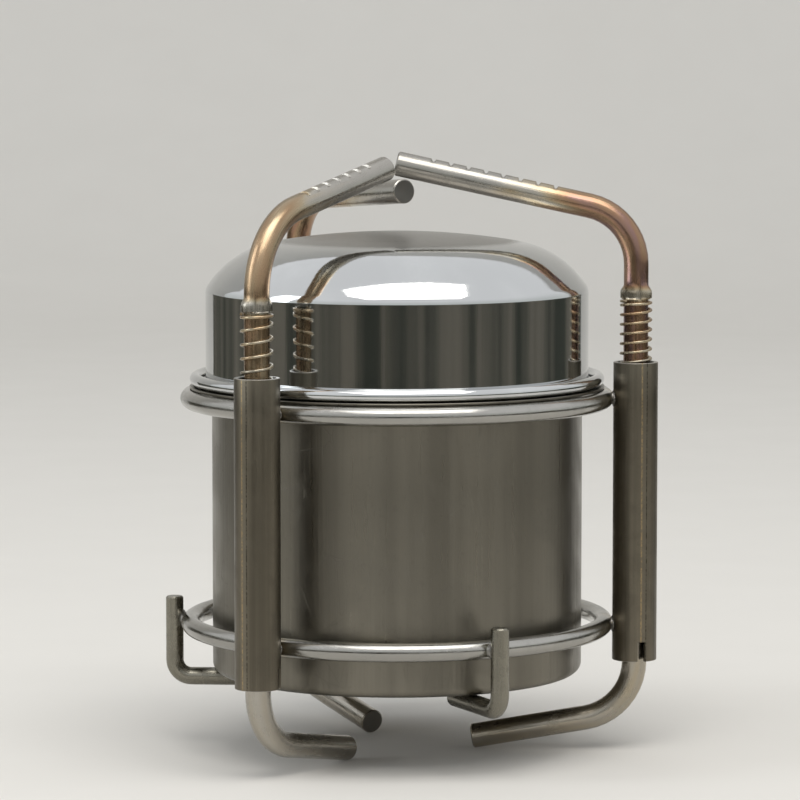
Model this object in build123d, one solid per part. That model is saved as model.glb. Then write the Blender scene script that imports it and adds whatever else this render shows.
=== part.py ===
from build123d import *
import os
from math import cos, radians, sqrt, tan

# Spirit burner in a folding wire stand, in its packed state, in millimetres.
# The cup's axis is Z and its legs stand on Z = 0. Tube 1 is towards -Y, and
# the other tubes and their rods follow every 120 degrees, towards +X first.

# Burner cup, drawn from steel sheet
cup_diameter = 75.0
cup_wall = 0.6
cup_corner_radius = 2.0
cup_depth = 58.3
flange_width = 4.5
flange_thickness = 0.5

# Cage rings and the seats between cup and cage
ring_wire = 3.8
ring_cup_gap = 2.6
upper_ring_height = 71.9
lower_ring_height = 26.0
seat_gap = 0.1

# Upright tubes, welded to the outside of both rings
tube_diameter = 9.0
tube_wall = 0.8
tube_foot_drop = 5.4
tube_top_rise = 5.5
weld_sink = 0.1
slot_width = 1.6
slot_height = 4.0
slot_turn = 110.0

# Bushings pressed into each tube
rod_clearance = 0.05
spring_seat_depth = 9.0
spring_seat_length = 4.0
lower_bushing_length = 8.0

# Hooks under the cup, bent from thinner wire
hook_wire = 3.6
hook_top_rise = 4.7
hook_bend = 3.4
hook_tail_radius = 26.0

# One-piece rods: arm, stem and leg
rod_diameter = 5.0
leg_bend = 12.0
leg_drop = 10.0
upper_ear_rise = 12.7
upper_ear_height = 2.6
lower_ear_rise = 5.7
lower_ear_height = 2.0
ear_width = 6.6
ear_thickness = 2.4
ear_chamfer = 0.45
upper_ear_turn = -20.0
lower_ear_turn = slot_turn - 90.0
notch_start = 7.2
notch_pitch = 3.6
notch_depth = 0.45
notch_width = 1.0

# Coil springs round the stems
spring_wire = 0.6
spring_rod_gap = 0.2

# Lid, drawn deep with a rolled bead at its mouth
lid_diameter = 77.5
lid_sheet = 0.6
lid_height = 30.9
lid_crown_radius = 150.0
lid_shoulder_radius = 20.0
lid_shoulder_start = 25.0
lid_knuckle_radius = 3.0
lid_foot_bend = 0.9
bead_section = 2.5

# Burner head, the inner wall and the wick packing
head_sheet = 0.5
head_skirt_depth = 8.0
head_shoulder_rise = 2.0
neck_diameter = 58.0
neck_base_rise = 9.0
neck_top_rise = 17.0
head_bend = 1.6
jet_diameter = 1.2
jet_count = 24
jet_drop = 4.0
inner_wall_diameter = 45.0
inner_wall_sheet = 0.5
inner_wall_lap = 5.0
feed_notch_diameter = 6.0
feed_notch_count = 4
drill_reach = 4.0
wick_gap = 0.3
wick_height = 44.0
wick_edge = 2.5


# Each rod was bent by hand, so the three differ a little. The arm's lift is the
# height of its corner over the lid.
class RodShape:
    def __init__(self, arm_reach, arm_rise, arm_lift, arm_bend, leg_reach, turn, notches, spring_pitch):
        self.arm_reach = arm_reach
        self.arm_rise = arm_rise
        self.arm_lift = arm_lift
        self.arm_bend = arm_bend
        self.leg_reach = leg_reach
        self.turn = turn
        self.notches = notches
        self.spring_pitch = spring_pitch


rod_shapes = [
    RodShape(44.1, 12.2, 3.3, 16.5, 30.5, 0.0, 9, 2.7),
    RodShape(48.4, 12.2, 3.3, 12.0, 33.0, 0.0, 8, 1.95),
    RodShape(45.2, 4.0, 4.8, 12.0, 32.0, 4.1, 8, 2.3),
]

# Sizes that follow from the values above
cup_radius = cup_diameter / 2
ring_radius = cup_radius + ring_cup_gap + ring_wire / 2
ring_top = upper_ring_height + ring_wire / 2
flange_bottom = ring_top + seat_gap
flange_top = flange_bottom + flange_thickness
flange_radius = cup_radius + flange_width
cup_bottom = flange_top - cup_depth
cup_floor = cup_bottom + cup_wall
cup_inside = cup_radius - cup_wall
hook_top = lower_ring_height + hook_top_rise
hook_tail_height = cup_bottom - seat_gap - hook_wire / 2
hook_radius = ring_radius + (ring_wire + hook_wire) / 2 - weld_sink
tube_top = ring_top + tube_top_rise
tube_bottom = lower_ring_height - ring_wire / 2 - tube_foot_drop
tube_radius = tube_diameter / 2
tube_inside = tube_radius - tube_wall
tube_circle = ring_radius + ring_wire / 2 + tube_radius - weld_sink
rod_radius = rod_diameter / 2
bushing_bore = rod_radius + rod_clearance
upper_ear_bottom = tube_top + upper_ear_rise
lower_ear_bottom = tube_bottom + lower_ear_rise
spring_seat_top = tube_top - spring_seat_depth
lower_bushing_bottom = lower_ear_bottom + lower_ear_height + seat_gap
lid_bottom = flange_top + seat_gap
lid_top = lid_bottom + lid_height
lid_radius = lid_diameter / 2
inner_wall_radius = inner_wall_diameter / 2
side_count = 3
side_step = 360.0 / side_count


def around(shape, angle):
    """Turn a shape drawn at -Y to its place round the stove."""
    return Rot(0, 0, angle) * shape


def sheet_ring(path, thickness):
    """Revolve a line drawn in radius and height into a thin sheet piece."""
    section = make_face(offset(path, amount=thickness / 2, side=Side.BOTH, kind=Kind.INTERSECTION))
    beyond_axis = Pos(-thickness, 0) * Rectangle(2 * thickness, 2 * lid_top + 2 * tube_top)
    return revolve(Plane.XZ * (section - beyond_axis), axis=Axis.Z)


def bent_wire(points, bends, diameter):
    """Sweep a round wire along straight runs joined by tangent arcs."""
    path = FilletPolyline(*points, radius=bends)
    section = Plane(origin=path @ 0, z_dir=path % 0) * Circle(diameter / 2)
    return sweep(section, path=path)


def ring(height):
    return Pos(0, 0, height) * Torus(ring_radius, ring_wire / 2)


def tube(rings):
    """Upright tube with a pair of saw cuts in its lower end and weld saddles."""
    length = tube_top - tube_bottom
    place = Pos(0, -tube_circle, tube_bottom + length / 2)
    shape = place * (Cylinder(tube_radius, length) - Cylinder(tube_inside, length))
    cut = Rot(0, 0, slot_turn) * Box(slot_width, 2 * tube_diameter, slot_height * 2)
    shape -= Pos(0, -tube_circle, tube_bottom) * cut
    for wire in rings:
        shape -= wire
    return shape


def bushing(bottom, length):
    """Collar pressed into a tube, with a running bore for the rod."""
    shape = Cylinder(tube_inside, length) - Cylinder(bushing_bore, length)
    return Pos(0, -tube_circle, bottom + length / 2) * shape


def hook(lower_ring):
    points = [
        (0, -hook_radius, hook_top),
        (0, -hook_radius, hook_tail_height),
        (0, -hook_tail_radius, hook_tail_height),
    ]
    return bent_wire(points, hook_bend, hook_wire) - lower_ring


def swaged_ears(bottom, height, turn):
    """Rod metal pinched out to both sides, so that it is wider than the rod."""
    ears = Box(ear_thickness, ear_width, height)
    ears = chamfer(ears.edges().filter_by(Axis.X), ear_chamfer)
    return Pos(0, -tube_circle, bottom + height / 2) * Rot(0, 0, turn) * ears


def rod(form):
    """Arm, stem and leg in one bent bar, drawn in the YZ plane at -Y."""
    stem = -tube_circle
    leg_tip = rod_radius * cos(radians(leg_drop))
    leg_corner = leg_tip + form.leg_reach * tan(radians(leg_drop))
    arm_corner = lid_top + form.arm_lift
    arm_tip = arm_corner + form.arm_reach * tan(radians(form.arm_rise))
    points = [
        (0, stem + form.arm_reach, arm_tip),
        (0, stem, arm_corner),
        (0, stem, leg_corner),
        (0, stem + form.leg_reach, leg_tip),
    ]
    shape = bent_wire(points, [form.arm_bend, leg_bend], rod_diameter)
    shape += swaged_ears(upper_ear_bottom, upper_ear_height, upper_ear_turn)
    shape += swaged_ears(lower_ear_bottom, lower_ear_height, lower_ear_turn)
    for number in range(form.notches):
        from_tip = notch_start + number * notch_pitch
        notch = Pos(0, 0, rod_radius) * Box(rod_diameter, notch_width, 2 * notch_depth)
        along = Pos(0, -from_tip, 0) * notch
        shape -= Pos(0, stem + form.arm_reach, arm_tip) * Rot(form.arm_rise, 0, 0) * along
    turned = Pos(0, stem, 0) * Rot(0, 0, form.turn) * Pos(0, -stem, 0)
    return turned * shape


def spring(pitch):
    coil_radius = rod_radius + spring_rod_gap + spring_wire / 2
    bottom = spring_seat_top + seat_gap + spring_wire / 2
    length = upper_ear_bottom - seat_gap - spring_wire / 2 - bottom
    path = Helix(pitch=pitch, height=length, radius=coil_radius)
    section = Plane(origin=path @ 0, z_dir=path % 0) * Circle(spring_wire / 2)
    return Pos(0, -tube_circle, bottom) * sweep(section, path=path, is_frenet=True)


def fuel_cup():
    middle = cup_radius - cup_wall / 2
    body = FilletPolyline(
        (0, cup_bottom + cup_wall / 2),
        (middle, cup_bottom + cup_wall / 2),
        (middle, flange_top - cup_wall / 2),
        radius=cup_corner_radius - cup_wall / 2,
    )
    flange = Cylinder(flange_radius, flange_thickness) - Cylinder(cup_inside, flange_thickness)
    return sheet_ring(body, cup_wall) + Pos(0, 0, flange_bottom + flange_thickness / 2) * flange


def burner_head():
    """Pressed cap in the cup's mouth, with a neck and a ring of jets."""
    skirt = cup_inside - head_sheet / 2
    neck = neck_diameter / 2 - head_sheet / 2
    lip = inner_wall_radius + head_sheet / 2
    top = flange_top + neck_top_rise - head_sheet / 2
    path = FilletPolyline(
        (skirt, flange_top - head_skirt_depth),
        (skirt, flange_top + head_shoulder_rise),
        (neck, flange_top + neck_base_rise),
        (neck, top),
        (lip, top),
        (lip, top - inner_wall_lap),
        radius=head_bend,
    )
    shape = sheet_ring(path, head_sheet)
    for number in range(jet_count):
        jet = Pos(0, -neck_diameter / 2, top - jet_drop) * Rot(90, 0, 0) * Cylinder(jet_diameter / 2, drill_reach)
        shape -= around(jet, number * 360 / jet_count)
    return shape


def inner_wall():
    """Open sleeve between the cup's floor and the head, notched for the fuel."""
    top = flange_top + neck_top_rise - head_sheet
    length = top - cup_floor
    shape = Cylinder(inner_wall_radius, length) - Cylinder(inner_wall_radius - inner_wall_sheet, length)
    shape = Pos(0, 0, cup_floor + length / 2) * shape
    for number in range(feed_notch_count):
        notch = Rot(90, 0, 0) * Cylinder(feed_notch_diameter / 2, drill_reach)
        shape -= around(Pos(0, -inner_wall_radius, cup_floor) * notch, number * 360 / feed_notch_count)
    return shape


def wick():
    outside = cup_inside - wick_gap
    inside = inner_wall_radius + wick_gap
    shape = Cylinder(outside, wick_height) - Cylinder(inside, wick_height)
    shape = fillet(shape.edges().filter_by(GeomType.CIRCLE).sort_by(SortBy.RADIUS)[-2:], wick_edge)
    return Pos(0, 0, cup_floor + wick_height / 2) * shape


def lid():
    """Straight wall, three tangent dome arcs and a rolled bead at the foot."""
    half = lid_sheet / 2
    crown = lid_crown_radius - half
    shoulder = lid_shoulder_radius - half
    knuckle = lid_knuckle_radius - half
    wall = lid_radius - half
    first = lid_shoulder_start / lid_crown_radius
    level = sqrt(1 - first * first)
    crown_centre = lid_top - lid_crown_radius
    shoulder_x = (lid_crown_radius - lid_shoulder_radius) * first
    shoulder_y = crown_centre + (lid_crown_radius - lid_shoulder_radius) * level
    knuckle_x = lid_radius - lid_knuckle_radius
    reach = lid_shoulder_radius - lid_knuckle_radius
    second = (knuckle_x - shoulder_x) / reach
    steep = sqrt(1 - second * second)
    knuckle_y = shoulder_y + reach * steep
    apex = (0, crown_centre + crown)
    join = (crown * first, crown_centre + crown * level)
    bend = (knuckle_x + knuckle * second, knuckle_y + knuckle * steep)
    edge = (wall, knuckle_y)
    web = lid_bottom + half
    bead_centre = flange_radius - bead_section / 2
    dome = [
        RadiusArc(apex, join, crown),
        RadiusArc(join, bend, shoulder),
        RadiusArc(bend, edge, knuckle),
    ]
    foot = FilletPolyline(edge, (wall, web), (bead_centre, web), radius=lid_foot_bend)
    path = Wire([edge for line in [*dome, foot] for edge in line.edges()])
    bead = Pos(0, 0, lid_bottom + bead_section / 2) * Torus(bead_centre, bead_section / 2)
    return sheet_ring(path, lid_sheet) + bead


os.makedirs("parts", exist_ok=True)


def save(name, shape):
    export_step(shape, f"parts/{name}.step")


upper_ring = ring(upper_ring_height)
lower_ring = ring(lower_ring_height)
save("upper_ring", upper_ring)
save("lower_ring", lower_ring)
for side in range(side_count):
    angle = side * side_step
    label = side + 1
    save(f"tube_{label}", around(tube([upper_ring, lower_ring]), angle))
    save(f"spring_seat_{label}", around(bushing(spring_seat_top - spring_seat_length, spring_seat_length), angle))
    save(f"lower_bushing_{label}", around(bushing(lower_bushing_bottom, lower_bushing_length), angle))
    save(f"hook_{label}", around(hook(lower_ring), angle + side_step / 2))
    save(f"rod_{label}", around(rod(rod_shapes[side]), angle))
    save(f"spring_{label}", around(spring(rod_shapes[side].spring_pitch), angle))
save("fuel_cup", fuel_cup())
save("burner_head", burner_head())
save("inner_wall", inner_wall())
save("wick", wick())
save("lid", lid())
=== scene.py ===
from math import acos, asin, atan2, cos, pi, radians, sin, tan

import bmesh
import bpy
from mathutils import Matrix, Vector


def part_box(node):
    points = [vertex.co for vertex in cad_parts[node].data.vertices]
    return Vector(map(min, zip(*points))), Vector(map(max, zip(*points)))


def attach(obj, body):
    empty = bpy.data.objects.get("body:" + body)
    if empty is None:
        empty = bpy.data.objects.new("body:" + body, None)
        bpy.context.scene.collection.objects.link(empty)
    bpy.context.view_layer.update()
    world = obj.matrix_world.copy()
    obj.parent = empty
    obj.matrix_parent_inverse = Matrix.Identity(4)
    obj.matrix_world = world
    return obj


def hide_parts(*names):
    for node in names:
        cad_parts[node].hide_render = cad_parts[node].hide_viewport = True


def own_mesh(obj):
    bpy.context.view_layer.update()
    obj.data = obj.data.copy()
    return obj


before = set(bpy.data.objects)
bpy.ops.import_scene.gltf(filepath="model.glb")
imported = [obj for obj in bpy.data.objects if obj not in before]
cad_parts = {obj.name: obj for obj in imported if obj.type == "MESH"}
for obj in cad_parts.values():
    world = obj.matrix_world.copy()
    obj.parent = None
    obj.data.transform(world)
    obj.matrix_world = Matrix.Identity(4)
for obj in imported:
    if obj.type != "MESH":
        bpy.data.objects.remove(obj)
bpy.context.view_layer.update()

# Spirit burner in a folding wire stand, packed for carrying: a lidded steel cup hung
# in a cage of two welded rings, with three sprung rods whose arms and legs swing in.
# Sizes are in millimetres and are turned to metres where the meshes are made.

# The cage's two rings
# Each is one length of round polished steel wire, rolled to a circle, butted and
# welded shut. The upper one carries the cup's flange, the lower one the three hooks.
MM = 0.001
RING_WIRE = 3.8
RING_STEPS = 360
RING_SIDES = 36
UPPER_RING_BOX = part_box("upper_ring")
LOWER_RING_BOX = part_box("lower_ring")
RING_RADIUS = UPPER_RING_BOX[1].x / MM - RING_WIRE / 2
UPPER_RING_HEIGHT = UPPER_RING_BOX[1].z / MM - RING_WIRE / 2
LOWER_RING_HEIGHT = LOWER_RING_BOX[1].z / MM - RING_WIRE / 2
RING_LEVELS = (("upper", UPPER_RING_HEIGHT), ("lower", LOWER_RING_HEIGHT))
TUBE_TURNS = (0, 120, 240)
WELD_HEAT_OUT = 2
WELD_HEAT_REACH = 6
WELD_HEAT_PEAK = 0.3
POLISHED_WIRE = (0.44, 0.43, 0.40)
GRAIN_SPREAD = 0.22
GRAIN_DEPTH = 0.00006


def solid_piece(name, points, faces, body, material, crease=35, places=None):
    """Make a mesh from points in millimetres, shade it and let it ride on a body.

    Places are each point's side, other side and distance along a bar or wire, and
    fourth whether it lies on a sawn end."""
    mesh = bpy.data.meshes.new(name)
    mesh.from_pydata([Vector(p) * MM for p in points], [], faces)
    if places:
        along = mesh.attributes.new("bar_place", "FLOAT_VECTOR", "POINT")
        along.data.foreach_set("vector", [part * MM for place in places for part in place[:3]])
        sawn = mesh.attributes.new("sawn_end", "FLOAT", "POINT")
        sawn.data.foreach_set("value", [float(place[3]) for place in places])
    outward = bmesh.new()
    outward.from_mesh(mesh)
    bmesh.ops.recalc_face_normals(outward, faces=outward.faces)
    outward.to_mesh(mesh)
    outward.free()
    mesh.shade_smooth()
    mesh.set_sharp_from_angle(angle=radians(crease))
    mesh.materials.append(material)
    piece = bpy.data.objects.new(name, mesh)
    bpy.context.scene.collection.objects.link(piece)
    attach(piece, body)
    return piece


def grid_faces(rows, columns, close_rows=False, close_columns=True):
    """Faces of a grid of points, counted row by row, that may close on itself."""
    faces = []
    for row in range(rows if close_rows else rows - 1):
        for column in range(columns if close_columns else columns - 1):
            next_row = (row + 1) % rows
            next_column = (column + 1) % columns
            corners = (row * columns + column, row * columns + next_column)
            corners += (next_row * columns + next_column, next_row * columns + column)
            faces.append(corners)
    return faces


def end_faces(rings, sides):
    """The flat faces that close the first and the last ring of a swept shape."""
    last = (rings - 1) * sides
    return [tuple(reversed(range(sides))), tuple(last + k for k in range(sides))]


def node(tree, kind, settings=None, **inputs):
    """Add a shader node. An input is a value, or another node's socket to link."""
    made = tree.nodes.new(kind)
    for key, value in (settings or {}).items():
        setattr(made, key, value)
    for key, value in inputs.items():
        socket = made.inputs[int(key[1:])] if key[0] == "_" else made.inputs[key.replace("_", " ")]
        if isinstance(value, bpy.types.NodeSocket):
            tree.links.new(value, socket)
        else:
            socket.default_value = value
    return made


def number(tree, operation, *values, clamp=False):
    settings = {"operation": operation, "use_clamp": clamp}
    inputs = {f"_{place}": value for place, value in enumerate(values)}
    return node(tree, "ShaderNodeMath", settings, **inputs).outputs[0]


def ranged(tree, value, low, high, new_low, new_high, smooth=False):
    kind = "SMOOTHSTEP" if smooth else "LINEAR"
    inputs = {"_0": value, "_1": low, "_2": high, "_3": new_low, "_4": new_high}
    return node(tree, "ShaderNodeMapRange", {"interpolation_type": kind}, **inputs).outputs[0]


def blended(tree, share, first, second):
    settings = {"data_type": "RGBA", "blend_type": "MIX"}
    return node(tree, "ShaderNodeMix", settings, _0=share, _6=first, _7=second).outputs[2]


def noise(tree, place, scale, detail, **more):
    return node(tree, "ShaderNodeTexNoise", Vector=place, Scale=scale, Detail=detail, **more).outputs[0]


def stretched(tree, place, stretch):
    return node(tree, "ShaderNodeVectorMath", {"operation": "MULTIPLY"}, _0=place, _1=stretch).outputs[0]


def object_place(tree):
    return node(tree, "ShaderNodeTexCoord").outputs["Object"]


def split(tree, vector):
    return node(tree, "ShaderNodeSeparateXYZ", Vector=vector).outputs


def grouped(tree, group, **inputs):
    return node(tree, "ShaderNodeGroup", {"node_tree": group}, **inputs)


def colour(red, green, blue):
    return (red, green, blue, 1.0)


def new_material(name):
    material = bpy.data.materials.new(name)
    material.use_nodes = True
    return material, material.node_tree, material.node_tree.nodes["Principled BSDF"]


def new_group(name, inputs, outputs):
    """Start a node group. Inputs and outputs are lists of socket name and kind."""
    tree = bpy.data.node_groups.new(name, "ShaderNodeTree")
    for label, kind in inputs:
        tree.interface.new_socket(name=label, in_out="INPUT", socket_type="NodeSocket" + kind)
    for label, kind in outputs:
        tree.interface.new_socket(name=label, in_out="OUTPUT", socket_type="NodeSocket" + kind)
    return tree, tree.nodes.new("NodeGroupInput").outputs, tree.nodes.new("NodeGroupOutput").inputs


def make_drawn_grain():
    """Long fine lines left by drawing, rolling or brushing, along the small scale."""
    tree, given, result = new_group(
        "drawn grain",
        [("Vector", "Vector"), ("Stretch", "Vector"), ("Spread", "Float")],
        [("Grain", "Float"), ("Band", "Float")],
    )
    scaled = stretched(tree, given[0], given[1])
    fine = noise(tree, scaled, 1.0, 5.0, Roughness=0.65)
    wide = noise(tree, scaled, 0.09, 2.0, Roughness=0.5)
    low = number(tree, "SUBTRACT", 0.5, given[2])
    high = number(tree, "ADD", 0.5, given[2])
    tree.links.new(ranged(tree, fine, low, high, 0.0, 1.0), result[0])
    tree.links.new(ranged(tree, wide, 0.35, 0.65, 0.0, 1.0, True), result[1])
    return tree


def make_handling_marks():
    """Soft smears from handling, and hair-thin scratches of random direction."""
    tree, given, result = new_group(
        "handling marks",
        [("Vector", "Vector"), ("Size", "Float")],
        [("Smear", "Float"), ("Scratch", "Float"), ("Speck", "Float")],
    )
    scaling = {"operation": "SCALE"}
    spot = node(tree, "ShaderNodeVectorMath", scaling, _0=given[0], Scale=given[1]).outputs[0]
    smear = noise(tree, spot, 1.0, 4.0, Distortion=0.8)
    speck = noise(tree, spot, 14.0, 2.0)
    lines = None
    for turn, squeeze in ((0.5, 14.0), (1.9, 11.0)):
        turned = node(
            tree,
            "ShaderNodeMapping",
            Vector=spot,
            Rotation=(turn, turn * 0.7, turn * 1.3),
            Scale=(1.0, squeeze, 1.6),
        )
        edges = {"feature": "DISTANCE_TO_EDGE"}
        cells = node(tree, "ShaderNodeTexVoronoi", edges, Vector=turned.outputs[0], Scale=0.9)
        line = ranged(tree, cells.outputs[0], 0.0, 0.02, 1.0, 0.0, True)
        lines = line if lines is None else number(tree, "MAXIMUM", lines, line)
    broken = number(tree, "MULTIPLY", lines, ranged(tree, smear, 0.45, 0.6, 0.0, 1.0, True))
    tree.links.new(ranged(tree, smear, 0.38, 0.68, 0.0, 1.0, True), result[0])
    tree.links.new(broken, result[1])
    tree.links.new(ranged(tree, speck, 0.62, 0.72, 0.0, 1.0, True), result[2])
    return tree


def make_heat_tint():
    """Temper colours of heated steel, from straw through bronze and brown to grey."""
    tree, given, result = new_group(
        "heat tint",
        [("Steel", "Color"), ("Heat", "Float")],
        [("Color", "Color")],
    )
    ramp = node(tree, "ShaderNodeValToRGB", Fac=given[1])
    stops = ramp.color_ramp.elements
    stops[0].position = 0.0
    stops[0].color = colour(0.50, 0.46, 0.38)
    stops[1].position = 1.0
    stops[1].color = colour(0.25, 0.28, 0.34)
    for position, tone in (
        (0.25, colour(0.40, 0.33, 0.22)),
        (0.45, colour(0.33, 0.22, 0.125)),
        (0.62, colour(0.30, 0.17, 0.10)),
        (0.80, colour(0.27, 0.16, 0.15)),
    ):
        stop = stops.new(position)
        stop.color = tone
    share = ranged(tree, given[1], 0.02, 0.3, 0.0, 0.92, True)
    tree.links.new(blended(tree, share, given[0], ramp.outputs[0]), result[0])
    return tree


DRAWN_GRAIN = make_drawn_grain()
HANDLING_MARKS = make_handling_marks()
HEAT_TINT = make_heat_tint()


def steel(
    name,
    tone,
    smooth,
    rough,
    stretch,
    depth,
    mark_size,
    on_bar=False,
    pits=0.3,
    scratched=1.0,
    uneven=0.26,
):
    """Steel with drawn grain, smears, scratches and small pits. Returns its parts.

    Smooth and rough are the two ends of its roughness, stretch is the grain's scale
    on each axis, depth the strength of its relief, and uneven how far it darkens."""
    material, tree, shader = new_material(name)
    shader.inputs["Metallic"].default_value = 1.0
    place = object_place(tree)
    if on_bar:
        place = node(tree, "ShaderNodeAttribute", {"attribute_name": "bar_place"}).outputs["Vector"]
    grain = grouped(tree, DRAWN_GRAIN, Vector=place, Stretch=stretch, Spread=GRAIN_SPREAD).outputs
    marks = grouped(tree, HANDLING_MARKS, Vector=place, Size=mark_size).outputs
    dull = tuple(part * (1 - uneven) for part in tone)
    pitted = tuple(part * 0.5 for part in tone)
    shade = blended(tree, grain["Band"], colour(*tone), colour(*dull))
    for mask, strength, darker in (
        (grain["Grain"], 0.3, dull),
        (marks["Smear"], 0.35, dull),
        (marks["Speck"], pits, pitted),
    ):
        shade = blended(tree, number(tree, "MULTIPLY", mask, strength), shade, colour(*darker))
    roughness = ranged(tree, grain["Grain"], 0.0, 1.0, smooth, rough)
    smeared = number(tree, "MULTIPLY", marks["Smear"], (rough - smooth) * 0.6)
    roughness = number(tree, "ADD", roughness, smeared)
    scored = number(tree, "MULTIPLY", marks["Scratch"], 0.12 * scratched)
    roughness = number(tree, "ADD", roughness, scored, clamp=True)
    groove = number(tree, "MULTIPLY", marks["Scratch"], 0.6 * scratched)
    height = number(tree, "SUBTRACT", grain["Grain"], groove)
    bump = node(tree, "ShaderNodeBump", Strength=depth, Distance=GRAIN_DEPTH, Height=height)
    tree.links.new(shade, shader.inputs["Base Color"])
    tree.links.new(roughness, shader.inputs["Roughness"])
    tree.links.new(bump.outputs[0], shader.inputs["Normal"])
    return {
        "material": material,
        "tree": tree,
        "shader": shader,
        "place": place,
        "shade": shade,
        "roughness": roughness,
    }


def recoloured(made, shade):
    """Put a new shade in place of the one that a steel has had so far."""
    made["shade"] = shade
    made["tree"].links.new(shade, made["shader"].inputs["Base Color"])


def heat_from(made, spots, drift_share=0.22):
    """Tint a steel by its distance from hot spots, each a point, a reach and a peak."""
    tree = made["tree"]
    spot = object_place(tree)
    heat = None
    for point, reach, peak in spots:
        target = tuple(part * MM for part in point)
        settings = {"operation": "DISTANCE"}
        away = node(tree, "ShaderNodeVectorMath", settings, _0=spot, _1=target).outputs["Value"]
        warm = ranged(tree, away, 0.0, reach * MM, peak, 0.0)
        heat = warm if heat is None else number(tree, "MAXIMUM", heat, warm)
    cloud = noise(tree, spot, 260.0, 3.0)
    drift = ranged(tree, cloud, 0.3, 0.7, 1.0 - drift_share, 1.0 + drift_share)
    heat = number(tree, "MULTIPLY", heat, drift, clamp=True)
    recoloured(made, grouped(tree, HEAT_TINT, Steel=made["shade"], Heat=heat).outputs[0])


def side_point(radius, degrees, height):
    """A point at a radius and turn round the stove, counted from the -Y side."""
    return (radius * sin(radians(degrees)), -radius * cos(radians(degrees)), height)


def ring_mesh(radius, height, wire):
    """A wire ring whose place along the wire is counted from the side opposite -Y."""
    points, places = [], []
    for step in range(RING_STEPS):
        turn = 360 * step / RING_STEPS
        for part in range(RING_SIDES):
            bend = 2 * pi * part / RING_SIDES
            reach = radius + wire / 2 * cos(bend)
            points.append(side_point(reach, turn, height + wire / 2 * sin(bend)))
            places.append((reach - radius, wire / 2 * sin(bend), abs(radians(turn - 180)) * radius, 0))
    return points, grid_faces(RING_STEPS, RING_SIDES, close_rows=True), places


for label, level in RING_LEVELS:
    ring_steel = steel(
        f"polished {label} ring",
        POLISHED_WIRE,
        smooth=0.08,
        rough=0.22,
        stretch=(2200, 2200, 60),
        depth=0.2,
        mark_size=260,
        on_bar=True,
        pits=0.1,
        scratched=0.4,
    )
    welds = [side_point(RING_RADIUS + WELD_HEAT_OUT, turn, level) for turn in TUBE_TURNS]
    heat_from(ring_steel, [(weld, WELD_HEAT_REACH, WELD_HEAT_PEAK) for weld in welds])
    points, faces, places = ring_mesh(RING_RADIUS, level, RING_WIRE)
    ring = solid_piece(f"{label}_ring_wire", points, faces, "cage", ring_steel["material"], places=places)
    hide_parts(f"{label}_ring")

# Upright tubes
# Drawn steel tube, dull as it came from the mill, cut to length and welded to the
# outside of both rings. A saw has cut a pair of slots up from each lower end.
TUBE_DIAMETER = 9.0
TUBE_WALL = 0.8
TUBE_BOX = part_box("tube_1")
TUBE_BOTTOM = TUBE_BOX[0].z / MM
TUBE_TOP = TUBE_BOX[1].z / MM
TUBE_CIRCLE = -(TUBE_BOX[0].y + TUBE_BOX[1].y) / 2 / MM
TUBE_SIDES = 28
TUBE_STEPS = 6
TUBE_EDGE = 0.14
TUBE_EDGE_STEPS = 3
SLOT_TURN = 110.0
SLOT_WIDTH = 1.6
SLOT_HEIGHT = 4.0
DULL_STEEL = (0.215, 0.19, 0.145)
# Painted shade: the near-black colour laid on the bore and in the saw cuts, where shade falls.
BORE_SHADE = colour(0.02, 0.018, 0.014)
BORE_SHADE_START = 0.2
BORE_SHADE_FULL = 0.55
RUBBED_RIM = colour(0.46, 0.44, 0.40)
RIM_START = 0.16
RIM_FULL = 0.02
DIE_LINE_TURNS = (8.0, 62.0, -150.0)
DIE_LINES = (
    (0.0, 0.035, (0.05, 0.045, 0.035)),
    (-0.24, 0.05, (0.36, 0.27, 0.15)),
)


def upright_tube(turn):
    """Outer skin of a slotted tube, thickened and broken at its edges by modifiers."""
    half_slot = asin(SLOT_WIDTH / TUBE_DIAMETER)
    slots = (radians(SLOT_TURN), radians(SLOT_TURN) + pi)
    turns = []
    for slot in slots:
        turns += [slot - half_slot, slot, slot + half_slot]
        turns += [slot + half_slot + (pi - 2 * half_slot) * k / TUBE_SIDES for k in range(1, TUBE_SIDES)]
    levels = [TUBE_BOTTOM, TUBE_BOTTOM + SLOT_HEIGHT]
    rise = TUBE_TOP - TUBE_BOTTOM - SLOT_HEIGHT
    levels += [TUBE_BOTTOM + SLOT_HEIGHT + rise * k / TUBE_STEPS for k in range(1, TUBE_STEPS + 1)]
    centre = side_point(TUBE_CIRCLE, turn, 0)
    points = []
    for level in levels:
        for angle in turns:
            skin = side_point(TUBE_DIAMETER / 2, turn + angle * 180 / pi, level)
            points.append((centre[0] + skin[0], centre[1] + skin[1], level))
    cut = set()
    for k, angle in enumerate(turns):
        if any(abs(angle - slot + half_slot / 2) < half_slot * 0.75 for slot in slots):
            cut.add(k)
    faces = [face for face in grid_faces(len(levels), len(turns)) if face[0] not in cut]
    return points, faces


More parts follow.
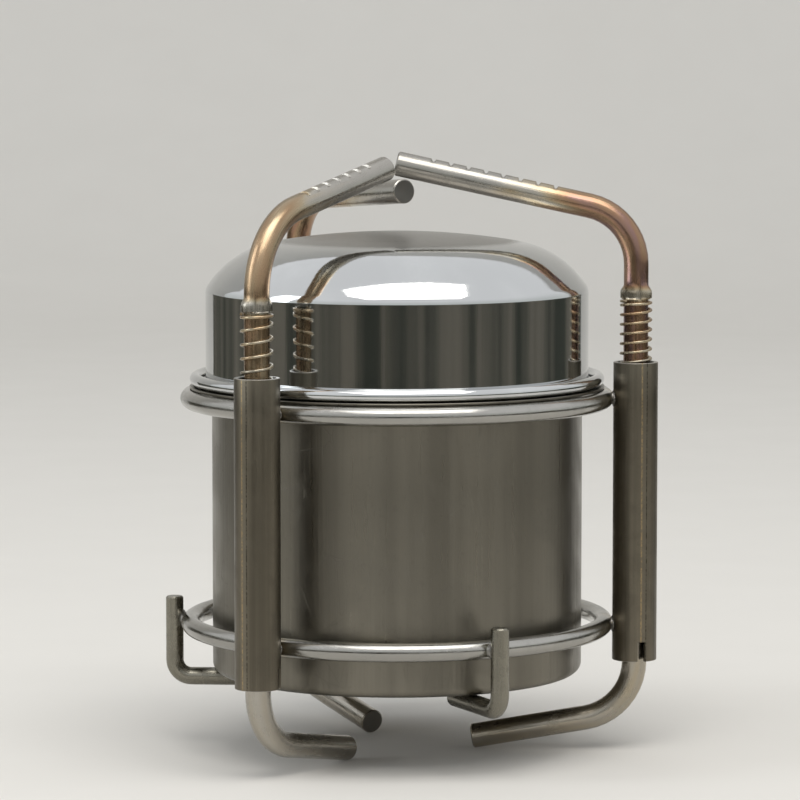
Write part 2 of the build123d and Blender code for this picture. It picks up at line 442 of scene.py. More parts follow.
def darker_inside(made, centre):
    """Painted shade, near black, on the bore and in the saw cuts, and a worn pale mouth edge."""
    tree = made["tree"]
    apart = split(tree, made["place"])
    x = number(tree, "POWER", number(tree, "SUBTRACT", apart[0], centre[0] * MM), 2.0)
    y = number(tree, "POWER", number(tree, "SUBTRACT", apart[1], centre[1] * MM), 2.0)
    reach = number(tree, "SQRT", number(tree, "ADD", x, y))
    outer = TUBE_DIAMETER / 2 * MM
    # Painted shade: the inner faces darken towards near black over this depth.
    inside = ranged(tree, reach, outer - BORE_SHADE_FULL * MM, outer - BORE_SHADE_START * MM, 0.88, 0.0, True)
    mouth = ranged(tree, apart[2], (TUBE_TOP - RIM_START) * MM, (TUBE_TOP - RIM_FULL) * MM, 0.0, 1.0)
    foot = ranged(tree, apart[2], (TUBE_BOTTOM + RIM_FULL) * MM, (TUBE_BOTTOM + RIM_START) * MM, 1.0, 0.0)
    rim = number(tree, "MAXIMUM", mouth, foot)
    shade = blended(tree, inside, made["shade"], BORE_SHADE)
    recoloured(made, blended(tree, number(tree, "MULTIPLY", rim, 0.75), shade, RUBBED_RIM))


def die_lines(made, centre, turn):
    """Two lines that the drawing die has scored: one dark and broken, one brown."""
    tree = made["tree"]
    apart = split(tree, made["place"])
    x = number(tree, "SUBTRACT", apart[0], centre[0] * MM)
    y = number(tree, "SUBTRACT", centre[1] * MM, apart[1])
    angle = number(tree, "ARCTAN2", x, y)
    broken = ranged(tree, noise(tree, made["place"], 2600.0, 2.0), 0.42, 0.55, 0.25, 1.0)
    shade = made["shade"]
    for offset, width, tone in DIE_LINES:
        away = number(tree, "ABSOLUTE", number(tree, "SUBTRACT", angle, radians(turn) + offset))
        line = ranged(tree, away, width * 0.4, width, 1.0, 0.0, True)
        shade = blended(tree, number(tree, "MULTIPLY", line, broken), shade, colour(*tone))
    recoloured(made, shade)


for number_of, (turn, line_turn) in enumerate(zip(TUBE_TURNS, DIE_LINE_TURNS), 1):
    tube_steel = steel(
        f"dull tube {number_of}",
        DULL_STEEL,
        smooth=0.26,
        rough=0.44,
        stretch=(3000, 3000, 36),
        depth=0.45,
        mark_size=150,
        uneven=0.5,
    )
    darker_inside(tube_steel, side_point(TUBE_CIRCLE, turn, 0))
    die_lines(tube_steel, side_point(TUBE_CIRCLE, turn, 0), line_turn)
    points, faces = upright_tube(turn)
    tube = solid_piece(f"upright_tube_{number_of}", points, faces, "cage", tube_steel["material"])
    wall = tube.modifiers.new("wall", "SOLIDIFY")
    wall.thickness = TUBE_WALL * MM
    wall.offset = -1
    wall.use_even_offset = True
    edge = tube.modifiers.new("broken edges", "BEVEL")
    edge.width = TUBE_EDGE * MM
    edge.segments = TUBE_EDGE_STEPS
    edge.limit_method = "ANGLE"
    edge.angle_limit = radians(50)
    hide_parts(f"tube_{number_of}")

# Welds
# Small TIG tacks where a ring touches each tube and where a hook touches the lower
# ring. They are lumpy, and lie in the groove beside the contact.
WELD_STEEL = (0.30, 0.29, 0.27)
WELD_SINK = 0.1
TUBE_TACK = (2.5, 0.55, 1.5)
HOOK_TACK = (2.1, 0.8, 1.7)
TACK_ROWS = 14
TACK_COLUMNS = 24
HOOK_TURNS = (60, 180, 300)
HOOK_WIRE = 3.6
HOOK_CIRCLE = RING_RADIUS + RING_WIRE / 2 + HOOK_WIRE / 2 - WELD_SINK
weld_steel = steel(
    "weld metal", WELD_STEEL, smooth=0.25, rough=0.45, stretch=(400, 400, 400), depth=0.8, mark_size=500
)


def weld_tack(turn, radius, level, size):
    """A flattened, wavy bead. Its size is its half length, half depth and half height."""
    across, through, upright = size
    points = []
    for row in range(TACK_ROWS):
        lift = pi * (row + 0.5) / TACK_ROWS - pi / 2
        for column in range(TACK_COLUMNS):
            bend = 2 * pi * column / TACK_COLUMNS
            wave = 1 + 0.09 * sin(3 * bend + turn) * cos(2 * lift) + 0.06 * cos(5 * bend)
            side = across * cos(lift) * cos(bend) * wave
            reach = radius + through * cos(lift) * sin(bend) * wave
            rise = level + upright * sin(lift) * wave
            points.append(side_point(reach, turn + side / radius * 180 / pi, rise))
    return points, grid_faces(TACK_ROWS, TACK_COLUMNS) + end_faces(TACK_ROWS, TACK_COLUMNS)


for turn in TUBE_TURNS:
    for label, level in RING_LEVELS:
        points, faces = weld_tack(turn, RING_RADIUS + RING_WIRE / 2, level, TUBE_TACK)
        tack = solid_piece(f"weld_{label}_ring_{turn}", points, faces, "cage", weld_steel["material"])
for turn in HOOK_TURNS:
    points, faces = weld_tack(turn, RING_RADIUS + RING_WIRE / 2, LOWER_RING_HEIGHT, HOOK_TACK)
    tack = solid_piece(f"weld_hook_{turn}", points, faces, "cage", weld_steel["material"])

# Bushings in the tubes
# Short turned collars pressed into each tube. The upper one is the seat that the
# spring stands on, and the lower one guides the rod and stops its lower ears.
COLLAR_STEEL = (0.36, 0.34, 0.30)
bushing_steel = steel(
    "turned collar", COLLAR_STEEL, smooth=0.22, rough=0.36, stretch=(60, 60, 1500), depth=0.3, mark_size=200
)


def dress(name, material):
    """Give a piece that is shown as it was packed its material."""
    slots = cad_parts[name].data.materials
    slots.clear()
    slots.append(material)


for kind in ("spring_seat", "lower_bushing"):
    for number_of in range(1, len(TUBE_TURNS) + 1):
        dress(f"{kind}_{number_of}", bushing_steel["material"])

# Hooks under the cup
# J-shaped lengths of thinner polished wire, cut square, welded outside the lower
# ring. Their tails run in under the cup and hold it up.
HOOK_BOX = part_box("hook_2")
HOOK_TOP = HOOK_BOX[1].z / MM
HOOK_TAIL_LEVEL = HOOK_BOX[0].z / MM + HOOK_WIRE / 2
HOOK_TAIL_RADIUS = 26.0
HOOK_BEND = 3.4
HOOK_STEP = 1.2
HOOK_SIDES = 28
HOOK_STEEL = (0.27, 0.255, 0.21)
# Painted shade for the rods' sawn end faces.
SHADED_SAWN_FACE = colour(0.15, 0.145, 0.135)
BAR_CHAMFER = 0.3
LEAST_STRAIGHT_STEPS = 2
LEAST_BEND_STEPS = 10


def bent_line(corners, bends, step):
    """Points along straight runs joined by tangent arcs, in a flat (across, up) plane."""
    line = []
    last = Vector(corners[0])
    for before, corner, after, bend in zip(corners, corners[1:], corners[2:], bends):
        corner = Vector(corner)
        back = (Vector(before) - corner).normalized()
        ahead = (Vector(after) - corner).normalized()
        half = acos(max(-1.0, min(1.0, back.dot(ahead)))) / 2
        start = corner + back * bend / tan(half)
        centre = corner + (back + ahead).normalized() * bend / sin(half)
        count = max(LEAST_STRAIGHT_STEPS, int((start - last).length / step))
        line += [last + (start - last) * k / count for k in range(count)]
        first = start - centre
        sweep = pi - 2 * half
        side = 1 if first.x * ahead.y - first.y * ahead.x > 0 else -1
        count = max(LEAST_BEND_STEPS, int(sweep * bend / step))
        for k in range(count):
            turned = side * sweep * k / count
            across = first.x * cos(turned) - first.y * sin(turned)
            rise = first.x * sin(turned) + first.y * cos(turned)
            line.append(centre + Vector((across, rise)))
        last = corner + ahead * bend / tan(half)
    end = Vector(corners[-1])
    count = max(LEAST_STRAIGHT_STEPS, int((end - last).length / step))
    line += [last + (end - last) * k / count for k in range(count + 1)]
    return line


def bar_along(line, radius, base, outward, side, sides, shape=None):
    """Sweep a round bar along a flat line. shape(place, up, lean) changes a section."""
    outward, side = Vector(outward), Vector(side)
    base = Vector(base)
    first = (line[1] - line[0]).normalized()
    last = (line[-1] - line[-2]).normalized()
    small = radius - BAR_CHAMFER
    rings = [(line[0], first, small), (line[0] + first * BAR_CHAMFER, first, radius)]
    for k in range(1, len(line) - 1):
        rings.append((line[k], (line[k + 1] - line[k - 1]).normalized(), radius))
    rings += [(line[-1] - last * BAR_CHAMFER, last, radius), (line[-1], last, small)]
    points, places = [], []
    travelled = 0.0
    for count, (place, ahead, size) in enumerate(rings):
        normal = Vector((-ahead.y, ahead.x))
        travelled += (place - rings[max(0, count - 1)][0]).length
        for k in range(sides):
            bend = 2 * pi * k / sides
            up, lean = size * cos(bend), size * sin(bend)
            places.append((up, lean, travelled, count in (0, len(rings) - 1)))
            if shape and size == radius:
                up, lean = shape(place, up, lean)
            flat = place + normal * up
            points.append(base + outward * flat.x + side * lean + Vector((0, 0, flat.y)))
    return points, grid_faces(len(rings), sides) + end_faces(len(rings), sides), places


def sawn_ends(made):
    """Paint shade on the flat ends that a saw has left, roughen them, and leave their rims pale."""
    tree = made["tree"]
    cut = node(tree, "ShaderNodeAttribute", {"attribute_name": "sawn_end"}).outputs["Fac"]
    flat = ranged(tree, cut, 0.55, 0.95, 0.0, 1.0)
    # Painted shade: the sawn end faces are darkened as if in shadow. The added roughness below is real.
    recoloured(made, blended(tree, number(tree, "MULTIPLY", flat, 0.8), made["shade"], SHADED_SAWN_FACE))
    rough = number(tree, "ADD", made["roughness"], number(tree, "MULTIPLY", flat, 0.2))
    tree.links.new(rough, made["shader"].inputs["Roughness"])


for number_of, turn in enumerate(HOOK_TURNS, 1):
    hook_steel = steel(
        f"polished hook {number_of}",
        HOOK_STEEL,
        smooth=0.14,
        rough=0.32,
        stretch=(2400, 2400, 50),
        depth=0.3,
        mark_size=260,
        on_bar=True,
        pits=0.1,
        scratched=0.15,
    )
    tail = HOOK_TAIL_RADIUS - HOOK_CIRCLE
    line = bent_line([(0, HOOK_TOP), (0, HOOK_TAIL_LEVEL), (tail, HOOK_TAIL_LEVEL)], [HOOK_BEND], HOOK_STEP)
    base = side_point(HOOK_CIRCLE, turn, 0)
    outward, side = side_point(1, turn, 0), side_point(1, turn + 90, 0)
    points, faces, places = bar_along(line, HOOK_WIRE / 2, base, outward, side, HOOK_SIDES)
    hook = solid_piece(f"cup_hook_{number_of}", points, faces, "cage", hook_steel["material"], places=places)
    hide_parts(f"hook_{number_of}")

# Rods
# One bar each of 5 mm steel, bent by hand twice: a notched arm that holds the pot, a
# stem through the tube, and a leg. Ears are pinched out of the stem above the spring.
ROD_DIAMETER = 5.0
ROD_STEP = 1.6
ROD_SIDES = 48
ROD_CREASE = 28
LEG_BEND = 12.0
LEG_DROP = 10.0
EAR_BOTTOM = 92.0
EAR_HEIGHT = 2.6
EAR_OUT = 3.3
EAR_IN = 2.1
EAR_TURN = -20.0
EAR_SHARES = (-0.02, 0, 0.1, 0.3, 0.5, 0.7, 0.85, 1, 1.08)
NOTCH_START = 7.2
NOTCH_PITCH = 3.6
NOTCH_DEPTH = 0.6
NOTCH_WIDTH = 1.0
NOTCH_SHARES = (-0.5, -0.14, 0.14, 0.5)
ON_LINE = 0.002
BARE_ROD = (0.44, 0.42, 0.38)
HEAT_DRIFT = 0.3
HEAT_WANDER = 0.004


class BentRod:
    """How one rod was bent, its count of notches, and where and how far it was heated."""

    def __init__(self, arm_reach, arm_rise, arm_corner, arm_bend, leg_reach, turn, notches, warm, heat):
        self.arm_reach = arm_reach
        self.arm_rise = arm_rise
        self.arm_corner = arm_corner
        self.arm_bend = arm_bend
        self.leg_reach = leg_reach
        self.turn = turn
        self.notches = notches
        self.warm = warm
        self.heat = heat


BENT_RODS = (
    BentRod(44.1, 12.2, 108.7, 16.5, 30.5, 0.0, 9, (12, 46), 0.42),
    BentRod(48.4, 12.2, 108.7, 12.0, 33.0, 0.0, 8, (16, 48), 0.66),
    BentRod(45.2, 4.0, 110.2, 12.0, 32.0, 4.1, 8, (2, 40), 0.50),
)


def arm_tip(rod):
    return Vector((-rod.arm_reach, rod.arm_corner + rod.arm_reach * tan(radians(rod.arm_rise))))


def arm_direction(rod):
    return Vector((cos(radians(rod.arm_rise)), -sin(radians(rod.arm_rise))))


def add_points(line, extra):
    """Put extra points into the straight runs of a line where they lie."""
    for point in extra:
        for k in range(len(line) - 1):
            run = line[k + 1] - line[k]
            from_start = point - line[k]
            beside = abs(run.x * from_start.y - run.y * from_start.x) / run.length
            if beside < ON_LINE and 0 < from_start.dot(run) < run.length_squared:
                line.insert(k + 1, point)
                break
    return line


def rod_line(rod):
    """The rod's centre line from arm tip to leg tip, with close points at the cuts."""
    leg_tip = ROD_DIAMETER / 2 * cos(radians(LEG_DROP))
    leg_corner = leg_tip + rod.leg_reach * tan(radians(LEG_DROP))
    tip = arm_tip(rod)
    corners = [tip, (0, rod.arm_corner), (0, leg_corner), (-rod.leg_reach, leg_tip)]
    line = bent_line(corners, [rod.arm_bend, LEG_BEND], ROD_STEP)
    cuts = []
    for count in range(rod.notches):
        middle = NOTCH_START + count * NOTCH_PITCH
        cuts += [tip + arm_direction(rod) * (middle + share * NOTCH_WIDTH) for share in NOTCH_SHARES]
    ears = [Vector((0, EAR_BOTTOM + EAR_HEIGHT * share)) for share in EAR_SHARES]
    return add_points(line, cuts + ears)


def rod_section(rod):
    """Rule for a rod's sections: saw-cut notches on the arm, pinched ears on the stem."""
    tip = arm_tip(rod)
    along = arm_direction(rod)
    radius = ROD_DIAMETER / 2

    def shape(place, up, lean):
        height = (place.y - EAR_BOTTOM) / EAR_HEIGHT
        if abs(place.x) < 0.01 and -0.01 <= height <= 1.05:
            pinch = max(0.0, min(1.0, height * 8 + 0.55, (1.06 - height) * 2.4))
            bend = atan2(lean, up) - radians(EAR_TURN)
            wide = abs(cos(bend)) ** 3
            narrow = (1 - wide) * abs(sin(bend))
            reach = radius + pinch * ((EAR_OUT - radius) * wide - (radius - EAR_IN) * narrow)
            turned = bend + radians(EAR_TURN)
            return reach * cos(turned), reach * sin(turned)
        from_tip = (place - tip).dot(along)
        count = round((from_tip - NOTCH_START) / NOTCH_PITCH)
        from_middle = abs(from_tip - NOTCH_START - count * NOTCH_PITCH)
        straight = from_tip < NOTCH_START + rod.notches * NOTCH_PITCH
        if straight and 0 <= count < rod.notches and from_middle < NOTCH_WIDTH * 0.4:
            return min(up, radius - NOTCH_DEPTH), lean
        return up, lean

    return shape


def heat_along(made, rod):
    """Temper colours that rise along the arm, stay round the spring and fade below."""
    tree = made["tree"]
    distance = split(tree, made["place"])[2]
    cloud = noise(tree, stretched(tree, made["place"], (520, 520, 90)), 1.0, 1.5)
    at = number(tree, "ADD", distance, ranged(tree, cloud, 0.3, 0.7, -HEAT_WANDER, HEAT_WANDER))
    start, full = rod.warm
    warm = ranged(tree, at, start * MM, full * MM, 0.0, rod.heat, True)
    cool = ranged(tree, at, (full + 24) * MM, (full + 46) * MM, 1.0, 0.25, True)
    drift = ranged(tree, cloud, 0.3, 0.7, 1.0 - HEAT_DRIFT, 1.0 + HEAT_DRIFT)
    level = split(tree, object_place(tree))[2]
    from_ear = number(tree, "ABSOLUTE", number(tree, "SUBTRACT", level, (EAR_BOTTOM + 1.0) * MM))
    rubbed = ranged(tree, from_ear, 0.6 * MM, 2.2 * MM, 0.25, 1.0, True)
    heat = number(tree, "MULTIPLY", number(tree, "MULTIPLY", warm, cool), drift, clamp=True)
    heat = number(tree, "MULTIPLY", heat, rubbed)
    recoloured(made, grouped(tree, HEAT_TINT, Steel=made["shade"], Heat=heat).outputs[0])


for number_of, (turn, rod) in enumerate(zip(TUBE_TURNS, BENT_RODS), 1):
    rod_steel = steel(
        f"bent rod {number_of}",
        BARE_ROD,
        smooth=0.13,
        rough=0.28,
        stretch=(2600, 2600, 45),
        depth=0.3,
        mark_size=200,
        on_bar=True,
        pits=0.15,
        scratched=0.2,
    )
    heat_along(rod_steel, rod)
    sawn_ends(rod_steel)
    facing = turn + rod.turn
    base = side_point(TUBE_CIRCLE, turn, 0)
    outward, side = side_point(1, facing, 0), side_point(1, facing + 90, 0)
    section = rod_section(rod)
    points, faces, places = bar_along(rod_line(rod), ROD_DIAMETER / 2, base, outward, side, ROD_SIDES, section)
    body = f"arm_and_leg_{number_of}"
    material = rod_steel["material"]
    bar = solid_piece(f"arm_stem_leg_{number_of}", points, faces, body, material, ROD_CREASE, places)
    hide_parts(f"rod_{number_of}")

# Springs
# Cold-wound steel wire round each stem, its last turns closed. It stands on the
# collar inside the tube, pushes the ears up, and has taken some colour from the fire.
SPRING_WIRE = 0.6
SPRING_CLEARANCE = 0.2
SPRING_RADIUS = ROD_DIAMETER / 2 + SPRING_CLEARANCE + SPRING_WIRE / 2
SPRING_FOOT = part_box("spring_seat_1")[1].z / MM + 0.1
SPRING_HEAD = EAR_BOTTOM - 0.05
SPRING_PITCHES = (2.7, 1.95, 2.3)
SPRING_SIDES = 12
STEPS_A_TURN = 40
CLOSED_PITCH = SPRING_WIRE * 1.05
SPRING_HEAT_LEVEL = 90
SPRING_HEAT_REACH = 20
SPRING_STEEL = (0.36, 0.33, 0.27)


def coil(pitch, turn):
    """A helix whose first and last turns lie close, so that its ends sit square."""
    centre = side_point(TUBE_CIRCLE, turn, 0)
    low = SPRING_FOOT + SPRING_WIRE / 2
    high = SPRING_HEAD - SPRING_WIRE / 2
    turns = 2 + (high - low - 2 * CLOSED_PITCH) / pitch
    steps = int(turns * STEPS_A_TURN)
    points = []
    for k in range(steps + 1):
        wound = turns * k / steps
        if wound < 1:
            level = low + CLOSED_PITCH * wound
        elif wound > turns - 1:
            level = high - CLOSED_PITCH * (turns - wound)
        else:
            level = low + CLOSED_PITCH + pitch * (wound - 1)
        slope = (pitch if 1 <= wound <= turns - 1 else CLOSED_PITCH) / (2 * pi * SPRING_RADIUS)
        bend = 360 * wound + 200 + 70 * turn
        for part in range(SPRING_SIDES):
            lean = 2 * pi * part / SPRING_SIDES
            out = side_point(SPRING_RADIUS + SPRING_WIRE / 2 * cos(lean), bend, 0)
            back = side_point(SPRING_WIRE / 2 * sin(lean) * slope, bend - 90, 0)
            rise = level + SPRING_WIRE / 2 * sin(lean)
            points.append((centre[0] + out[0] + back[0], centre[1] + out[1] + back[1], rise))
    return points, grid_faces(steps + 1, SPRING_SIDES) + end_faces(steps + 1, SPRING_SIDES)


for number_of, (turn, pitch, rod) in enumerate(zip(TUBE_TURNS, SPRING_PITCHES, BENT_RODS), 1):
    spring_steel = steel(
        f"spring wire {number_of}",
        SPRING_STEEL,
        smooth=0.14,
        rough=0.3,
        stretch=(300, 300, 300),
        depth=0.1,
        mark_size=400,
    )
    hot_spot = side_point(TUBE_CIRCLE, turn, SPRING_HEAT_LEVEL)
    heat_from(spring_steel, [(hot_spot, SPRING_HEAT_REACH, 0.2 + rod.heat * 0.3)], 0.6)
    points, faces = coil(pitch, turn)
    body = f"coil_{number_of}"
    spring = solid_piece(f"coil_spring_{number_of}", points, faces, body, spring_steel["material"])
    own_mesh(spring)
    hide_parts(f"spring_{number_of}")

# Fuel cup
# A deep cup drawn from thin stainless sheet, brushed upright, with a flat flange
# turned out at its mouth that hangs on the upper ring.
CUP_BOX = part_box("fuel_cup")
CUP_RADIUS = 37.5
CUP_WALL = 0.6
CUP_CORNER = 2.0
CUP_BOTTOM = CUP_BOX[0].z / MM
CUP_WALL_LEVELS = (20, 40)
FLANGE_TOP = CUP_BOX[1].z / MM
FLANGE_RADIUS = CUP_BOX[1].x / MM
FLANGE_THICKNESS = 0.5
FLANGE_UNDER = FLANGE_TOP - FLANGE_THICKNESS
FLANGE_BEND = 0.5
FLANGE_EDGE = 0.12
MOUTH_BEND = 0.9
TURNED_SIDES = 288
CUP_STEEL = (0.215, 0.20, 0.165)


def arc_points(centre, radius, start, end, count):
    """Points on a circle from one angle to another, in degrees, both included."""
    angles = [radians(start + (end - start) * k / count) for k in range(count + 1)]
    return [(centre[0] + radius * cos(a), centre[1] + radius * sin(a)) for a in angles]


def turned_piece(profile):
    """Spin a closed (radius, height) profile round the stove's axis."""
    points = []
    for radius, height in profile:
        for k in range(TURNED_SIDES):
            points.append(side_point(max(radius, 0.01), 360 * k / TURNED_SIDES, height))
    return points, grid_faces(len(profile), TURNED_SIDES, close_rows=True)


corner_centre = (CUP_RADIUS - CUP_CORNER, CUP_BOTTOM + CUP_CORNER)
mouth_centre = (CUP_RADIUS - CUP_WALL + MOUTH_BEND, FLANGE_TOP - MOUTH_BEND)
profile = [(0.0, CUP_BOTTOM)]
profile += arc_points(corner_centre, CUP_CORNER, -90, 0, 10)
profile += [(CUP_RADIUS, CUP_BOTTOM + level) for level in CUP_WALL_LEVELS]
profile += arc_points((CUP_RADIUS + FLANGE_BEND, FLANGE_UNDER - FLANGE_BEND), FLANGE_BEND, 180, 90, 6)
profile += [(FLANGE_RADIUS - FLANGE_EDGE, FLANGE_UNDER), (FLANGE_RADIUS, FLANGE_UNDER + FLANGE_EDGE)]
profile += [(FLANGE_RADIUS, FLANGE_TOP - FLANGE_EDGE), (FLANGE_RADIUS - FLANGE_EDGE, FLANGE_TOP)]
profile += arc_points(mouth_centre, MOUTH_BEND, 90, 180, 6)
profile += arc_points(corner_centre, CUP_CORNER - CUP_WALL, 0, -90, 6)
profile += [(0.0, CUP_BOTTOM + CUP_WALL)]
cup_steel = steel(
    "brushed cup",
    CUP_STEEL,
    smooth=0.24,
    rough=0.38,
    stretch=(1500, 1500, 18),
    depth=0.3,
    mark_size=60,
    pits=0.12,
)
points, faces = turned_piece(profile)
cup = solid_piece("drawn_fuel_cup", points, faces, "burner", cup_steel["material"])
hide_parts("fuel_cup")

# Burner head, inner wall and wick
# A pressed cap closes the cup's mouth round a neck with a ring of drilled jets. A
# sleeve lines the fuel well, and mineral fibre is packed between it and the cup.
HEAD_STEEL = (0.42, 0.40, 0.36)
FLAME_POINT = (0, 0, FLANGE_TOP + 20)
FLAME_REACH = 34
FLAME_PEAK = 0.75
head_steel = steel(
    "pressed head", HEAD_STEEL, smooth=0.2, rough=0.34, stretch=(60, 60, 900), depth=0.3, mark_size=120
)
heat_from(head_steel, [(FLAME_POINT, FLAME_REACH, FLAME_PEAK)])
dress("burner_head", head_steel["material"])
dress("inner_wall", head_steel["material"])

CLEAN_FIBRE = colour(0.66, 0.63, 0.56)
CHARRED_FIBRE = colour(0.44, 0.40, 0.34)
LOOSE_STRAND = colour(0.82, 0.80, 0.74)
fibre, tree, shader = new_material("packed fibre")
place = object_place(tree)
strand = noise(tree, place, 900.0, 6.0, Distortion=2.5)
tuft = noise(tree, place, 140.0, 3.0)
char = blended(tree, ranged(tree, tuft, 0.4, 0.65, 0.0, 1.0), CLEAN_FIBRE, CHARRED_FIBRE)
char = blended(tree, number(tree, "MULTIPLY", strand, 0.5), char, LOOSE_STRAND)
bump = node(tree, "ShaderNodeBump", Strength=0.9, Distance=0.0004, Height=strand)
tree.links.new(char, shader.inputs["Base Color"])
tree.links.new(bump.outputs[0], shader.inputs["Normal"])
shader.inputs["Roughness"].default_value = 0.95
dress("wick", fibre)

# Lid
# Drawn from the same sheet into a tall dome, mirror polished on a wheel with a
# satin crown, its foot turned out and rolled into a bead that sits on the flange.
LID_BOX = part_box("lid")
LID_TOP = LID_BOX[1].z / MM
LID_BOTTOM = LID_BOX[0].z / MM
LID_RADIUS = 38.75
LID_SHEET = 0.6
LID_WALL_LEVELS = (84.0, 80.0)
CROWN_RADIUS = 150.0
SHOULDER_RADIUS = 20.0
SHOULDER_START = 25.0
KNUCKLE_RADIUS = 3.0
FOOT_BEND = 0.6
BEAD_SECTION = 2.5
BEAD_START = 214
SATIN_INNER = 0.0225
SATIN_OUTER = 0.0262
SATIN_LOW = 0.099
SATIN_HIGH = 0.101
WORN_CROWN = colour(0.31, 0.295, 0.27)
MIRROR_STEEL = (0.60, 0.61, 0.61)


def dome_profile(inset):
    """Crown, shoulder and knuckle arcs from the axis to the wall, set in by a depth."""
    first = asin(SHOULDER_START / CROWN_RADIUS)
    crown_centre = (0.0, LID_TOP - CROWN_RADIUS)
    gap = CROWN_RADIUS - SHOULDER_RADIUS
    shoulder_centre = (gap * sin(first), crown_centre[1] + gap * cos(first))
    reach = SHOULDER_RADIUS - KNUCKLE_RADIUS
    second = asin((LID_RADIUS - KNUCKLE_RADIUS - shoulder_centre[0]) / reach)
    knuckle_centre = (LID_RADIUS - KNUCKLE_RADIUS, shoulder_centre[1] + reach * cos(second))
    first, second = first * 180 / pi, second * 180 / pi
    line = arc_points(crown_centre, CROWN_RADIUS - inset, 90, 90 - first, 12)
    line += arc_points(shoulder_centre, SHOULDER_RADIUS - inset, 90 - first, 90 - second, 12)[1:]
    line += arc_points(knuckle_centre, KNUCKLE_RADIUS - inset, 90 - second, 0, 18)[1:]
    return line


def satin_crown(made):
    """Turn the top of the lid from a mirror to worn satin with marks of the wheel."""
    tree = made["tree"]
    apart = split(tree, made["place"])
    squares = [number(tree, "POWER", apart[k], 2.0) for k in (0, 1)]
    across = number(tree, "SQRT", number(tree, "ADD", squares[0], squares[1]))
    wheel = node(tree, "ShaderNodeTexNoise", {"noise_dimensions": "1D"}, W=across, Scale=5200.0, Detail=4.0)
    crown = ranged(tree, across, SATIN_INNER, SATIN_OUTER, 1.0, 0.0, True)
    raised = ranged(tree, apart[2], SATIN_LOW, SATIN_HIGH, 0.0, 1.0, True)
    crown = number(tree, "MULTIPLY", crown, raised)
    satin = number(tree, "MULTIPLY", crown, ranged(tree, wheel.outputs[0], 0.3, 0.7, 0.22, 0.36))
    recoloured(made, blended(tree, number(tree, "MULTIPLY", crown, 0.85), made["shade"], WORN_CROWN))
    tree.links.new(number(tree, "ADD", made["roughness"], satin), made["shader"].inputs["Roughness"])


bead_centre = (FLANGE_RADIUS - BEAD_SECTION / 2, LID_BOTTOM + BEAD_SECTION / 2)
foot_centre = (LID_RADIUS + FOOT_BEND, LID_BOTTOM + LID_SHEET + FOOT_BEND)
profile = dome_profile(0.0)
profile += [(LID_RADIUS, level) for level in LID_WALL_LEVELS]
profile += arc_points(foot_centre, FOOT_BEND, 180, 270, 6)
profile += arc_points(bead_centre, BEAD_SECTION / 2, BEAD_START, -90, 30)
profile += arc_points(foot_centre, FOOT_BEND + LID_SHEET, 270, 180, 8)
profile += dome_profile(LID_SHEET)[::-1]
lid_steel = steel(
    "polished lid",
    MIRROR_STEEL,
    smooth=0.03,
    rough=0.075,
    stretch=(900, 900, 30),
    depth=0.06,
    mark_size=60,
    pits=0.0,
    scratched=0.0,
    uneven=0.1,
)
satin_crown(lid_steel)
points, faces = turned_piece(profile)
lid = solid_piece("domed_lid", points, faces, "lid_body", lid_steel["material"])
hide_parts("lid")

# Floor, backdrop, light and camera
# A pale sweep of seamless paper under and behind the stove, grey flags round it that
# only the steel mirrors, a broad soft lamp high in front, a weaker one on the left,
# and a long lens a little above the lid. Sizes from here on are in metres.
VIEW_TURN = radians(34.0)
PAPER_LIGHT = colour(0.78, 0.755, 0.71)
PAPER_DARK = colour(0.75, 0.725, 0.68)
SWEEP_NEAR = -1.6
SWEEP_FAR = 1.1
SWEEP_BEND = 0.5
SWEEP_TOP = 1.8
SWEEP_HALF_WIDTH = 2.2
FLAG_DISTANCE = 0.45
FLAG_HEIGHT = 0.10
FLAG_SPREAD = 140
FLAG_STEPS = 48
FLAG_DARK = colour(0.045, 0.05, 0.04)
FLAG_LIGHT = colour(0.19, 0.175, 0.145)
HORIZON = colour(0.72, 0.75, 0.74)
ZENITH = colour(0.97, 0.98, 1.0)
SKY_LIGHT = colour(0.94, 0.97, 1.0)
LAMP_AIM = Vector((0, 0, 0.07))
LENS = 185.4
SENSOR_WIDTH = 36.0
NEAREST_SEEN = 0.01
LENS_TILT = radians(5.41)
CAMERA_DISTANCE = 0.832
CAMERA_HEIGHT = 0.150
AIM_RIGHT = 0.0006


def stage_sheet(name, points, material):
    """A sheet between pairs of points, linked to the scene."""
    mesh = bpy.data.meshes.new(name)
    mesh.from_pydata(points, [], grid_faces(len(points) // 2, 2, close_columns=False))
    mesh.materials.append(material)
    sheet = bpy.data.objects.new(name, mesh)
    bpy.context.scene.collection.objects.link(sheet)
    return sheet


paper, tree, shader = new_material("seamless paper")
paper_grain = noise(tree, object_place(tree), 30.0, 2.0)
tree.links.new(blended(tree, paper_grain, PAPER_LIGHT, PAPER_DARK), shader.inputs["Base Color"])
shader.inputs["Roughness"].default_value = 0.9
sweep_line = [(SWEEP_NEAR, 0.0), (SWEEP_FAR, 0.0)]
sweep_line += arc_points((SWEEP_FAR, SWEEP_BEND), SWEEP_BEND, -90, 0, 16)[1:]
sweep_line += [(SWEEP_FAR + SWEEP_BEND, SWEEP_TOP)]
points = []
for depth, height in sweep_line:
    for side in (-SWEEP_HALF_WIDTH, SWEEP_HALF_WIDTH):
        x = side * cos(VIEW_TURN) - depth * sin(VIEW_TURN)
        y = side * sin(VIEW_TURN) + depth * cos(VIEW_TURN)
        points.append((x, y, height))
sweep = stage_sheet("paper_sweep", points, paper)
sweep.data.shade_smooth()

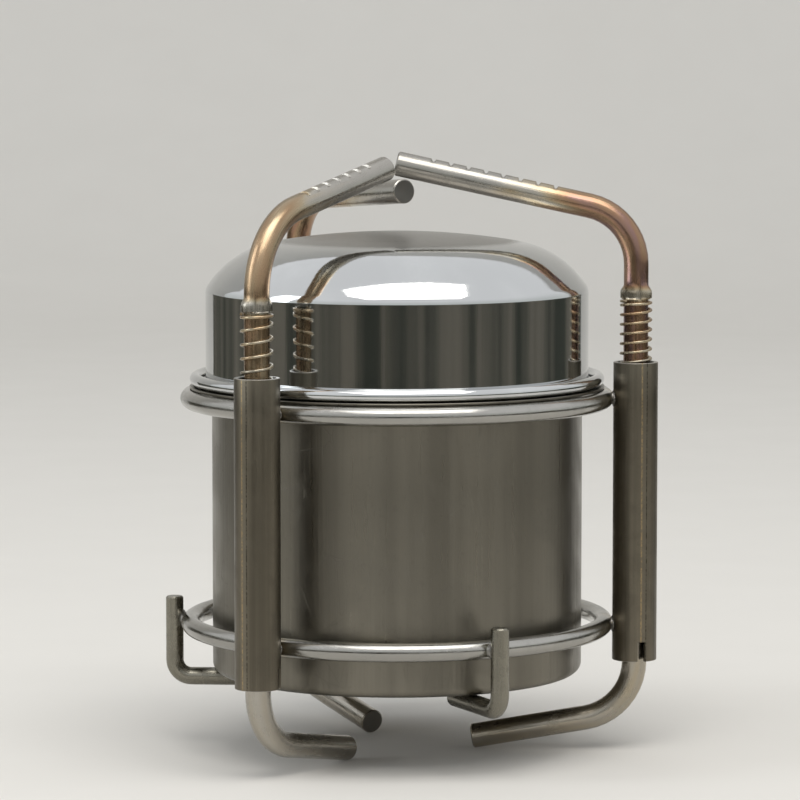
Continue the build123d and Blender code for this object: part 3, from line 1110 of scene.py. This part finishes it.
flag, tree, shader = new_material("grey flag")
felt = noise(tree, stretched(tree, object_place(tree), (9.0, 9.0, 0.6)), 1.0, 3.0)
tone = blended(tree, ranged(tree, felt, 0.38, 0.62, 0.0, 1.0, True), FLAG_DARK, FLAG_LIGHT)
tree.links.new(tone, shader.inputs["Base Color"])
shader.inputs["Roughness"].default_value = 1.0
points = []
for step in range(FLAG_STEPS + 1):
    turn = VIEW_TURN + radians(-FLAG_SPREAD + 2 * FLAG_SPREAD * step / FLAG_STEPS)
    for height in (0.0, FLAG_HEIGHT):
        points.append((FLAG_DISTANCE * sin(turn), -FLAG_DISTANCE * cos(turn), height))
flags = stage_sheet("grey_flags", points, flag)
flags.visible_camera = False
flags.visible_shadow = False
flags.visible_diffuse = False

world = bpy.data.worlds.new("studio")
world.use_nodes = True
bpy.context.scene.world = world
tree = world.node_tree
tree.nodes.clear()
rays = node(tree, "ShaderNodeLightPath").outputs
seen = number(tree, "ADD", rays["Is Camera Ray"], rays["Is Glossy Ray"])
seen = number(tree, "ADD", seen, rays["Is Transmission Ray"], clamp=True)
up = split(tree, node(tree, "ShaderNodeTexCoord").outputs["Generated"])[2]
sky = blended(tree, ranged(tree, up, 0.0, 0.55, 0.0, 1.0, True), HORIZON, ZENITH)
light_level = node(tree, "ShaderNodeBackground", Color=SKY_LIGHT, Strength=0.62)
backdrop = node(tree, "ShaderNodeBackground", Color=sky, Strength=1.0)
mixed = node(tree, "ShaderNodeMixShader", _0=seen, _1=light_level.outputs[0], _2=backdrop.outputs[0])
node(tree, "ShaderNodeOutputWorld", Surface=mixed.outputs[0])


def soft_lamp(name, turn, distance, height, size, power, tone):
    """An area lamp that is turned from the view's direction and aimed at the stove."""
    lamp = bpy.data.lights.new(name, "AREA")
    lamp.shape = "RECTANGLE"
    lamp.size, lamp.size_y = size
    lamp.energy = power
    lamp.color = tone
    holder = bpy.data.objects.new(name, lamp)
    place = VIEW_TURN + radians(turn)
    holder.location = (distance * sin(place), -distance * cos(place), height)
    holder.rotation_euler = (LAMP_AIM - holder.location).to_track_quat("-Z", "Y").to_euler()
    bpy.context.scene.collection.objects.link(holder)


soft_lamp("high_front", 12, 0.55, 1.15, size=(1.1, 0.8), power=9.0, tone=(1.0, 0.98, 0.95))
soft_lamp("left_side", -75, 1.1, 0.55, size=(0.35, 0.9), power=3.0, tone=(0.92, 0.96, 1.0))

camera = bpy.data.objects.new("camera", bpy.data.cameras.new("camera"))
camera.data.sensor_width = SENSOR_WIDTH
camera.data.lens = LENS
camera.data.clip_start = NEAREST_SEEN
camera.location = (
    CAMERA_DISTANCE * sin(VIEW_TURN) + AIM_RIGHT * cos(VIEW_TURN),
    -CAMERA_DISTANCE * cos(VIEW_TURN) + AIM_RIGHT * sin(VIEW_TURN),
    CAMERA_HEIGHT,
)
camera.rotation_euler = (radians(90) - LENS_TILT, 0, VIEW_TURN)
bpy.context.scene.collection.objects.link(camera)
bpy.context.scene.camera = camera
bpy.context.scene.view_settings.view_transform = "Standard"
